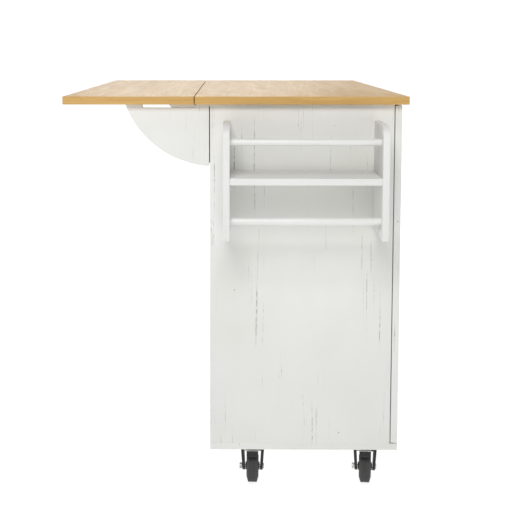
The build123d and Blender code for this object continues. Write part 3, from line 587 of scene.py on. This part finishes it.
@dataclass
class Assembly:
    """A part of the cart that dresses or replaces its CAD nodes."""

    def dress(self, node: str, finish: Finish) -> None:
        """Give a CAD node that stays a finish of its own."""
        data = frame["nodes"][node].data
        if not data.materials:
            data.materials.append(finish.material())
        for i in range(len(data.materials)):
            data.materials[i] = finish.material()
        LOG.info("dressed %s in %s", node, finish.name)

    def hand_over(
        self,
        piece: bpy.types.Object,
        name: str,
        finish: Finish,
        node: str,
        stands_for: bool = True,
        angle: float = 40.0,
    ) -> bpy.types.Object:
        """Finish a new piece and tie it to the frame.

        Args:
            piece: the piece.
            name: its name.
            finish: its finish.
            node: the CAD node whose body it rides on.
            stands_for: whether it replaces that node.
            angle: the angle under which its faces are shaded as one.

        Returns:
            The piece.
        """
        settle(piece, name, angle)
        piece.data.materials.clear()
        piece.data.materials.append(finish.material())
        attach(piece, BODY_OF[node])
        if stands_for:
            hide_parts(node)
        LOG.info("made %s on %s", name, BODY_OF[node])
        return piece

    def board(
        self,
        node: str,
        finish: Finish,
        rounding: float = 1.0 * MM,
        shortest: float = 12 * MM,
    ) -> bpy.types.Object:
        """A softened copy of a board with all its bores."""
        piece = copy_of(node)
        soften(piece, rounding, 3, shortest)
        return self.hand_over(piece, node + "_board", finish, node)


@dataclass
class Carcass(Assembly):
    """The fixed boards and what holds them together."""

    upright: tuple[str, ...] = (
        "rack_end_panel",
        "far_end_panel",
        "left_divider",
        "right_divider",
        "back_panel",
    )
    level: tuple[str, ...] = ("bottom_panel", "top_rails", "left_shelf", "right_shelf")

    def build(self) -> None:
        """Make the boards and dress the fasteners."""
        for node in self.upright:
            self.board(node, WHITE_UPRIGHT)
        for node in self.level:
            self.board(node, WHITE_LENGTHWISE)
        for node in ("carcass_screws", "shelf_pins", "door_pivot_pins", "drawer_slides"):
            self.dress(node, ZINC)
        self.dress("rail_dowels", BEECH)
        self.dress("door_catches", CATCH)


@dataclass
class Top(Assembly):
    """The worktop, the drop leaf and the two brackets that hold it up."""

    rounding: float = 0.9 * MM

    def build(self) -> None:
        """Make the four boards."""
        for node in ("worktop", "drop_leaf"):
            self.board(node, OAK, self.rounding)
        for node in ("near_leaf_bracket", "far_leaf_bracket"):
            self.board(node, WHITE_UPRIGHT, 0.7 * MM, 0.8 * MM)


@dataclass
class Rack(Assembly):
    """The rack on the end panel: two uprights, a shelf and two round bars."""

    rounding: float = 1.6 * MM
    bar_rounding: float = 0.8 * MM

    def build(self) -> None:
        """Make the rack's boards and turn its bars."""
        for node in ("rack_front_upright", "rack_rear_upright"):
            self.board(node, RACK_WHITE, self.rounding, 1.2 * MM)
        self.board("rack_shelf", RACK_SHELF_WHITE, self.rounding)
        for node in ("rack_top_bar", "rack_bottom_bar"):
            low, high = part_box(node)
            radius = (high.z - low.z) / 2
            centre = (low + high) / 2
            profile = axle_profile(high.y - low.y, radius, self.bar_rounding)
            bar = spun(profile, (centre.x, low.y, centre.z), (0, 1, 0), 64)
            self.hand_over(bar, node + "_turned", BAR_WHITE, node)


@dataclass
class Fronts(Assembly):
    """The doors and drawers with their handles."""

    bar_radius: float = 5.0 * MM
    post_radius: float = 4.0 * MM
    post_spacing: float = 128.0 * MM
    foot_radius: float = 6.5 * MM
    foot_height: float = 1.6 * MM
    rounding: float = 0.9 * MM

    def handle(self, node: str, front: str, upright: bool) -> None:
        """A round bar on two posts that flare into feet.

        Args:
            node: the handle's CAD node.
            front: the door or drawer front that it is on.
            upright: whether its bar stands up.
        """
        low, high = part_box(node)
        centre = (low + high) / 2
        along = Vector((0, 0, 1)) if upright else Vector((1, 0, 0))
        length = (high - low).dot(along)
        bar_axis = Vector((centre.x, low.y + self.bar_radius, centre.z))
        bar = spun(axle_profile(length, self.bar_radius, 1.4 * MM), bar_axis - along * length / 2, along, 48)
        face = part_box(front)[0].y
        reach = face - bar_axis.y
        flare = [
            (0, 0),
            (0, self.foot_radius),
            (self.foot_height * 0.5, self.foot_radius),
            (self.foot_height * 0.8, self.foot_radius * 0.95),
            (self.foot_height, self.foot_radius * 0.82),
            (self.foot_height * 1.6, self.post_radius * 1.12),
            (self.foot_height * 2.6, self.post_radius),
            (reach, self.post_radius),
            (reach, 0),
        ]
        seat = Vector((centre.x, face, centre.z))
        posts = [
            spun(flare, seat + along * side * self.post_spacing / 2, (0, -1, 0), 40)
            for side in (-1, 1)
        ]
        finish = NICKEL if upright else NICKEL_LEVEL
        self.hand_over(joined([bar, *posts]), node + "_turned", finish, node)

    def drawer_box(self, node: str) -> None:
        """The copy of a drawer's box, softened along its rims."""
        parts = loose_parts(copy_of(node))
        for part in parts:
            soften(part, 0.6 * MM, 2, 20 * MM)
        self.hand_over(joined(parts), node + "_boards", DRAWER_SIDES, node)

    def build(self) -> None:
        """Make both doors and the three drawers."""
        for side in ("left", "right"):
            self.board(f"{side}_door", WHITE_UPRIGHT, self.rounding)
            self.handle(f"{side}_door_handle", f"{side}_door", True)
        for place in ("top", "middle", "bottom"):
            self.board(f"{place}_drawer_front", WHITE_UPRIGHT, self.rounding)
            self.handle(f"{place}_drawer_handle", f"{place}_drawer_front", False)
            self.drawer_box(f"{place}_drawer_box")


def screw_pattern(radius: float, height: float) -> bpy.types.Object:
    """A domed screw head with a cross recess, its seat at the origin and its top along Z."""
    rim = height * 0.35
    dome = [(rim + (height - rim) * math.sin(a), radius * math.cos(a)) for a in (0.0, 0.35, 0.7, 1.05, 1.35)]
    head = spun([(0, 0), (0, radius), *dome, (height, 0)], sides=32)
    half, width = radius * 0.58, radius * 0.13
    deep = (height * 0.45, height * 1.5)
    for reach_x, reach_y in ((half, width), (width, half)):
        cutter = block((-reach_x, -reach_y, deep[0]), (reach_x, reach_y, deep[1]), 0.02 * MM)
        modify(head, "BOOLEAN", operation="DIFFERENCE", object=cutter, solver="EXACT")
        drop(cutter)
    return head


@dataclass
class Hinges(Assembly):
    """The butt hinges of the leaf and of its brackets."""

    screw_radius: float = 2.8 * MM
    screw_height: float = 1.1 * MM
    leaf_screws: tuple[float, ...] = (-21 * MM, 0.0, 21 * MM)
    leaf_offset: float = 16.5 * MM
    bracket_screws: int = 5
    bracket_offset: float = 15.0 * MM
    bracket_knuckle: float = 3.6 * MM
    leaf_hinge_length: float = 60.0 * MM
    plate: float = 1.5 * MM
    end_margin: float = 10.0 * MM

    def row(self, node: str, places: Sequence[tuple[Vector, Vector]]) -> None:
        """Set screws on the plates of one node.

        Args:
            node: the plates' CAD node, whose body the screws ride on.
            places: the seat and the outward direction of each screw.
        """
        pattern = screw_pattern(self.screw_radius, self.screw_height)
        screws = []
        for seat, outward in places:
            turn = outward.to_track_quat("Z", "Y").to_matrix().to_4x4()
            screws.append(copied(pattern, Matrix.Translation(seat) @ turn))
        drop(pattern)
        self.hand_over(joined(screws), node + "_screws", ZINC, node, stands_for=False)

    def leaf_rows(self) -> None:
        """Three screws in each plate under the worktop and the leaf."""
        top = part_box("worktop")[0].z
        low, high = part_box("leaf_hinge_fixed_halves")
        split = (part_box("worktop")[1].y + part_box("drop_leaf")[0].y) / 2
        down = Vector((0, 0, -1))
        half = self.leaf_hinge_length / 2
        centres = (low.x + half, (low.x + high.x) / 2, high.x - half)
        for node, side in (("leaf_hinge_fixed_halves", -1), ("leaf_hinge_moving_halves", 1)):
            places = [
                (Vector((centre + along, split + side * self.leaf_offset, top - self.plate)), down)
                for centre in centres
                for along in self.leaf_screws
            ]
            self.row(node, places)

    def bracket_rows(self) -> None:
        """A row of screws down each long plate."""
        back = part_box("back_panel")[1].y
        reach = self.bracket_offset + self.bracket_knuckle
        fixed = []
        for side, inward in (("near", 1), ("far", -1)):
            node = f"{side}_bracket_hinge_halves"
            low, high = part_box(node)
            span = high.z - low.z - 2 * self.end_margin
            gaps = self.bracket_screws - 1
            heights = [low.z + self.end_margin + span * i / gaps for i in range(gaps + 1)]
            board_low, board_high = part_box(f"{side}_leaf_bracket")
            face = board_high.x if inward > 0 else board_low.x
            seat_x = face + inward * self.plate
            places = [(Vector((seat_x, back + reach, z)), Vector((inward, 0, 0))) for z in heights]
            self.row(node, places)
            seat_x = face + inward * reach
            fixed += [(Vector((seat_x, back + self.plate, z)), Vector((0, 1, 0))) for z in heights]
        self.row("bracket_hinge_fixed_halves", fixed)

    def build(self) -> None:
        """Soften the plates and knuckles of every half, then add their screws."""
        self.leaf_rows()
        self.bracket_rows()
        for node in (
            "leaf_hinge_fixed_halves",
            "leaf_hinge_moving_halves",
            "bracket_hinge_fixed_halves",
            "near_bracket_hinge_halves",
            "far_bracket_hinge_halves",
        ):
            parts = loose_parts(copy_of(node))
            for part in parts:
                soften(part, 0.25 * MM, 2, 1.0 * MM)
            self.hand_over(joined(parts), node + "_plates", ZINC, node)


@dataclass
class Casters(Assembly):
    """Four swivel casters with brakes, each made at its own swivel axis and turned into place."""

    turns: tuple[tuple[str, float], ...] = (
        ("near_back", -2.0),
        ("near_front", -6.0),
        ("far_back", 52.0),
        ("far_front", -41.0),
    )
    trail: float = 24.0 * MM
    wheel_radius: float = 37.5 * MM
    wheel_width: float = 28.0 * MM
    tread_width: float = 20.0 * MM
    tyre_inner: float = 24.5 * MM
    boss_radius: float = 9.0 * MM
    boss_width: float = 33.0 * MM
    bore: float = 4.05 * MM
    recess: float = 4.0 * MM
    spokes: int = 6
    plate_thickness: float = 2.5 * MM
    screw_pitch: float = 44.0 * MM
    plate_screw_radius: float = 5.4 * MM
    plate_screw_height: float = 3.6 * MM
    pad_face: float = -68.0 * MM
    rib: float = 0.8 * MM
    rib_reach: float = 11.5 * MM
    rib_heights: tuple[float, ...] = (77 * MM, 79.6 * MM, 82.2 * MM, 84.8 * MM)
    cap_radius: float = 7.8 * MM
    cap_start: float = 28.2 * MM
    cap_edge: float = 1.6 * MM
    cap_slope: float = 1.0 * MM
    cap_height: float = 2.9 * MM
    groove_from_middle: float = 3.4 * MM
    groove_depth: float = 0.7 * MM
    groove_corner: float = 0.45 * MM
    spoke_half: float = 1.3 * MM
    spoke_sunk: float = 0.5 * MM
    spoke_proud: float = 2.6 * MM

    def tyre(self) -> bpy.types.Object:
        """The tyre on a Z axle: bevelled shoulders and two grooves round the tread."""
        half, tread, outer = self.wheel_width / 2, self.tread_width / 2, self.wheel_radius
        groove, deep, corner = self.groove_from_middle, self.groove_depth, self.groove_corner
        profile = [
            (-half, self.tyre_inner),
            (-tread - 0.9 * MM, outer - 2.2 * MM),
            (-tread - 0.25 * MM, outer - 0.7 * MM),
            (-tread + 0.9 * MM, outer),
            (-groove - corner, outer),
            (-groove, outer - deep),
            (-groove + 2 * corner, outer - deep),
            (-groove + 3 * corner, outer),
        ]
        mirrored = [(-z, r) for z, r in reversed(profile)]
        return spun([*profile, *mirrored, profile[0]], sides=96)

    def hub(self) -> bpy.types.Object:
        """The hub on a Z axle: rim, recessed webs, boss and raised spokes."""
        half, boss = self.wheel_width / 2, self.boss_width / 2
        side = [
            (-boss, self.bore),
            (-boss, self.boss_radius - 0.8 * MM),
            (-boss + 0.8 * MM, self.boss_radius),
            (-half + self.recess, self.boss_radius + 2 * MM),
            (-half + self.recess, self.tyre_inner - 4 * MM),
            (-half + 0.4 * MM, self.tyre_inner - 3 * MM),
            (-half, self.tyre_inner - 2.4 * MM),
            (-half, self.tyre_inner),
        ]
        other = [(-z, r) for z, r in reversed(side)]
        parts = [spun([*side, *other, side[0]], sides=72)]
        reach = (self.boss_radius, self.tyre_inner - 3.4 * MM)
        for face in (-1, 1):
            edge = face * (half - self.recess)
            ends = sorted((edge - face * self.spoke_sunk, edge + face * self.spoke_proud))
            low = (reach[0], -self.spoke_half, ends[0])
            high = (reach[1], self.spoke_half, ends[1])
            spoke = block(low, high, 0.5 * MM)
            for i in range(self.spokes):
                parts.append(copied(spoke, Matrix.Rotation(math.tau * i / self.spokes, 4, "Z")))
            drop(spoke)
        return joined(parts)

    def plates(self) -> None:
        """The four top plates with their ball races and kingpins."""
        piece = copy_of("caster_top_plates")
        soften(piece, 0.5 * MM, 2, 0.5 * MM)
        self.hand_over(piece, "caster_top_plates_pressed", ZINC, "caster_top_plates")
        pattern = screw_pattern(self.plate_screw_radius, self.plate_screw_height)
        plate_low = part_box("bottom_panel")[0].z - self.plate_thickness
        heads = []
        for name in dict(self.turns):
            axis = self.swivel_axis(name)
            for dx in (-1, 1):
                for dy in (-1, 1):
                    seat = axis + Vector((dx, dy, 0)) * self.screw_pitch / 2
                    place = Matrix.Translation((seat.x, seat.y, plate_low)) @ Matrix.Rotation(math.pi, 4, "X")
                    heads.append(copied(pattern, place))
        drop(pattern)
        self.hand_over(joined(heads), "caster_plate_screw_heads", ZINC, "caster_plate_screws")

    def swivel_axis(self, name: str) -> Vector:
        """Where a caster's swivel axis meets the floor."""
        low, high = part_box(f"{name}_caster_tyre")
        turn = math.radians(dict(self.turns)[name])
        centre = (low + high) / 2
        return Vector((centre.x + self.trail * math.cos(turn), centre.y + self.trail * math.sin(turn), 0))

    def local(self, name: str) -> Matrix:
        """The move from a caster's own axis to its place on the cart."""
        turn = Matrix.Rotation(math.radians(dict(self.turns)[name]), 4, "Z")
        return Matrix.Translation(self.swivel_axis(name)) @ turn

    def brake(self, name: str) -> None:
        """The pressed lever, and its ribbed foot pad."""
        node = f"{name}_caster_brake"
        lever, pad = loose_parts(copy_of(node))[:2]
        soften(lever, 0.35 * MM, 2, 1.0 * MM)
        self.hand_over(lever, node + "_lever", ZINC, node)
        soften(pad, 0.9 * MM, 3, 1.0 * MM)
        ribs = []
        for z in self.rib_heights:
            rib = block(
                (self.pad_face - self.rib, -self.rib_reach, z),
                (self.pad_face + self.rib, self.rib_reach, z + 1.5 * self.rib),
                0.3 * MM,
            )
            ribs.append(copied(rib, self.local(name)))
            drop(rib)
        self.hand_over(joined([pad, *ribs]), node + "_pad", BLACK_PLASTIC, node)

    def fork(self, name: str) -> None:
        """The pressed fork with rolled edges, and the axle bolt with its nut."""
        node = f"{name}_caster_fork"
        parts = loose_parts(copy_of(node))
        soften(parts[0], 0.9 * MM, 3, 1.5 * MM)
        self.hand_over(parts[0], node + "_pressed", BLACK_STEEL, node)
        axle = joined(parts[1:])
        soften(axle, 0.4 * MM, 2, 1.5 * MM)
        dome = [
            (0, 0),
            (0, self.cap_radius),
            (self.cap_edge, self.cap_radius),
            (self.cap_edge + self.cap_slope, self.cap_radius - 1.2 * MM),
            (self.cap_height, 0),
        ]
        cap = spun(dome, (-self.trail, self.cap_start, self.wheel_radius), (0, 1, 0), 40)
        placed = copied(cap, self.local(name))
        drop(cap)
        self.hand_over(joined([axle, placed]), node + "_axle", ZINC, node)

    def build(self) -> None:
        """Make a wheel once, then copy it to each caster."""
        self.plates()
        tyre, hub = self.tyre(), self.hub()
        for name, turn in self.turns:
            self.fork(name)
            self.brake(name)
            low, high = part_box(f"{name}_caster_tyre")
            place = (
                Matrix.Translation((low + high) / 2)
                @ Matrix.Rotation(math.radians(turn), 4, "Z")
                @ Matrix.Rotation(math.pi / 2, 4, "X")
            )
            for pattern, finish, part in ((tyre, TREAD, "tyre"), (hub, HUB, "hub")):
                node = f"{name}_caster_{part}"
                self.hand_over(copied(pattern, place), node + "_moulded", finish, node, angle=30.0)
        drop(tyre)
        drop(hub)


# ------------------------------------------------------------------ studio


@dataclass
class Studio:
    """A pale floor, soft light and the camera."""

    back_off: float = 2.5718
    aside: float = 0.3956
    rise: float = 0.1138
    yaw: float = -0.605
    pitch: float = 5.924
    lens: float = 80.5
    shift: tuple[float, float] = (0.0724, -0.18)
    floor_near: float = 1.0
    floor_far: float = 3.0
    lamps: tuple[tuple[str, tuple[float, float, float], float, float], ...] = (
        ("end lamp", (-3.2, 0.3, 2.9), 1.4, 64.0),
        ("front lamp", (1.3, -2.7, 2.3), 2.0, 30.0),
        ("back lamp", (1.3, 2.7, 2.0), 2.0, 16.0),
        ("far lamp", (3.4, 0.3, 2.4), 1.5, 12.0),
    )

    def camera(self) -> None:
        """A camera at eye level off the rack's end, looking along the cart."""
        low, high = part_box("worktop")
        data = bpy.data.cameras.new("camera")
        data.sensor_width, data.lens = 36.0, self.lens
        data.shift_x, data.shift_y = self.shift
        data.clip_start, data.clip_end = 0.05, 60.0
        obj = bpy.data.objects.new("camera", data)
        bpy.context.scene.collection.objects.link(obj)
        obj.location = (low.x - self.back_off, low.y + self.aside, high.z + self.rise)
        obj.rotation_euler = (math.radians(90 - self.pitch), 0, math.radians(-90 - self.yaw))
        bpy.context.scene.camera = obj

    def floor(self) -> None:
        """A wide floor that glows a little, as a light table does."""
        bpy.ops.object.select_all(action="DESELECT")
        bpy.ops.mesh.primitive_plane_add(size=40, location=(0, 0, -0.0005))
        obj = bpy.context.object
        obj.name = "floor"
        material = bpy.data.materials.new("floor")
        material.use_nodes = True
        graph = Graph(material.node_tree)
        place = graph.add("TexCoord").outputs["Object"]
        away = graph.add("VectorMath", {"operation": "LENGTH"}, {0: place}).outputs["Value"]
        glow = graph.ramp(away, self.floor_near, self.floor_far, 0.88, 1.0)
        shader = graph.add("BsdfPrincipled", {}, {"Base Color": linear("7c7c7c"), "Roughness": 0.9})
        shader.inputs["Emission Color"].default_value = (1, 1, 1, 1)
        graph.tree.links.new(glow, shader.inputs["Emission Strength"])
        output = graph.add("OutputMaterial")
        graph.tree.links.new(shader.outputs[0], output.inputs[0])
        obj.data.materials.append(material)

    def sky(self) -> None:
        """An even white surround, a little brighter where it is the backdrop."""
        world = bpy.data.worlds.new("surround")
        bpy.context.scene.world = world
        world.use_nodes = True
        graph = Graph(world.node_tree)
        path = graph.add("LightPath").outputs
        direct = graph.math("MAXIMUM", path["Is Camera Ray"], path["Is Glossy Ray"])
        strength = graph.ramp(direct, 0.0, 1.0, 0.26, 1.05)
        background = graph.add("Background", {}, {"Color": (1, 1, 1, 1), "Strength": strength})
        output = graph.add("OutputWorld")
        graph.tree.links.new(background.outputs[0], output.inputs[0])

    def lamp(self, name: str, place: Sequence[float], size: float, power: float) -> None:
        """A square soft box aimed at the middle of the cart.

        Args:
            name: its name.
            place: where it hangs.
            size: its side.
            power: its watts.
        """
        data = bpy.data.lights.new(name, "AREA")
        data.shape, data.size, data.energy = "SQUARE", size, power
        obj = bpy.data.objects.new(name, data)
        bpy.context.scene.collection.objects.link(obj)
        obj.location = place
        aim = Vector((0, 0, 0.6)) - Vector(place)
        obj.rotation_euler = aim.to_track_quat("-Z", "Y").to_euler()

    def build(self) -> None:
        """Set up the whole studio."""
        self.camera()
        self.floor()
        self.sky()
        for name, place, size, power in self.lamps:
            self.lamp(name, place, size, power)
        bpy.context.scene.view_settings.view_transform = "Standard"


def main() -> None:
    """Build the studio and every sub-assembly."""
    logging.basicConfig(level=logging.INFO, format="%(name)s: %(message)s")
    bpy.ops.object.select_all(action="DESELECT")
    Studio().build()
    for assembly in (Carcass(), Top(), Rack(), Fronts(), Hinges(), Casters()):
        LOG.info("building %s", type(assembly).__name__)
        assembly.build()


if __name__ == "__main__":
    main()
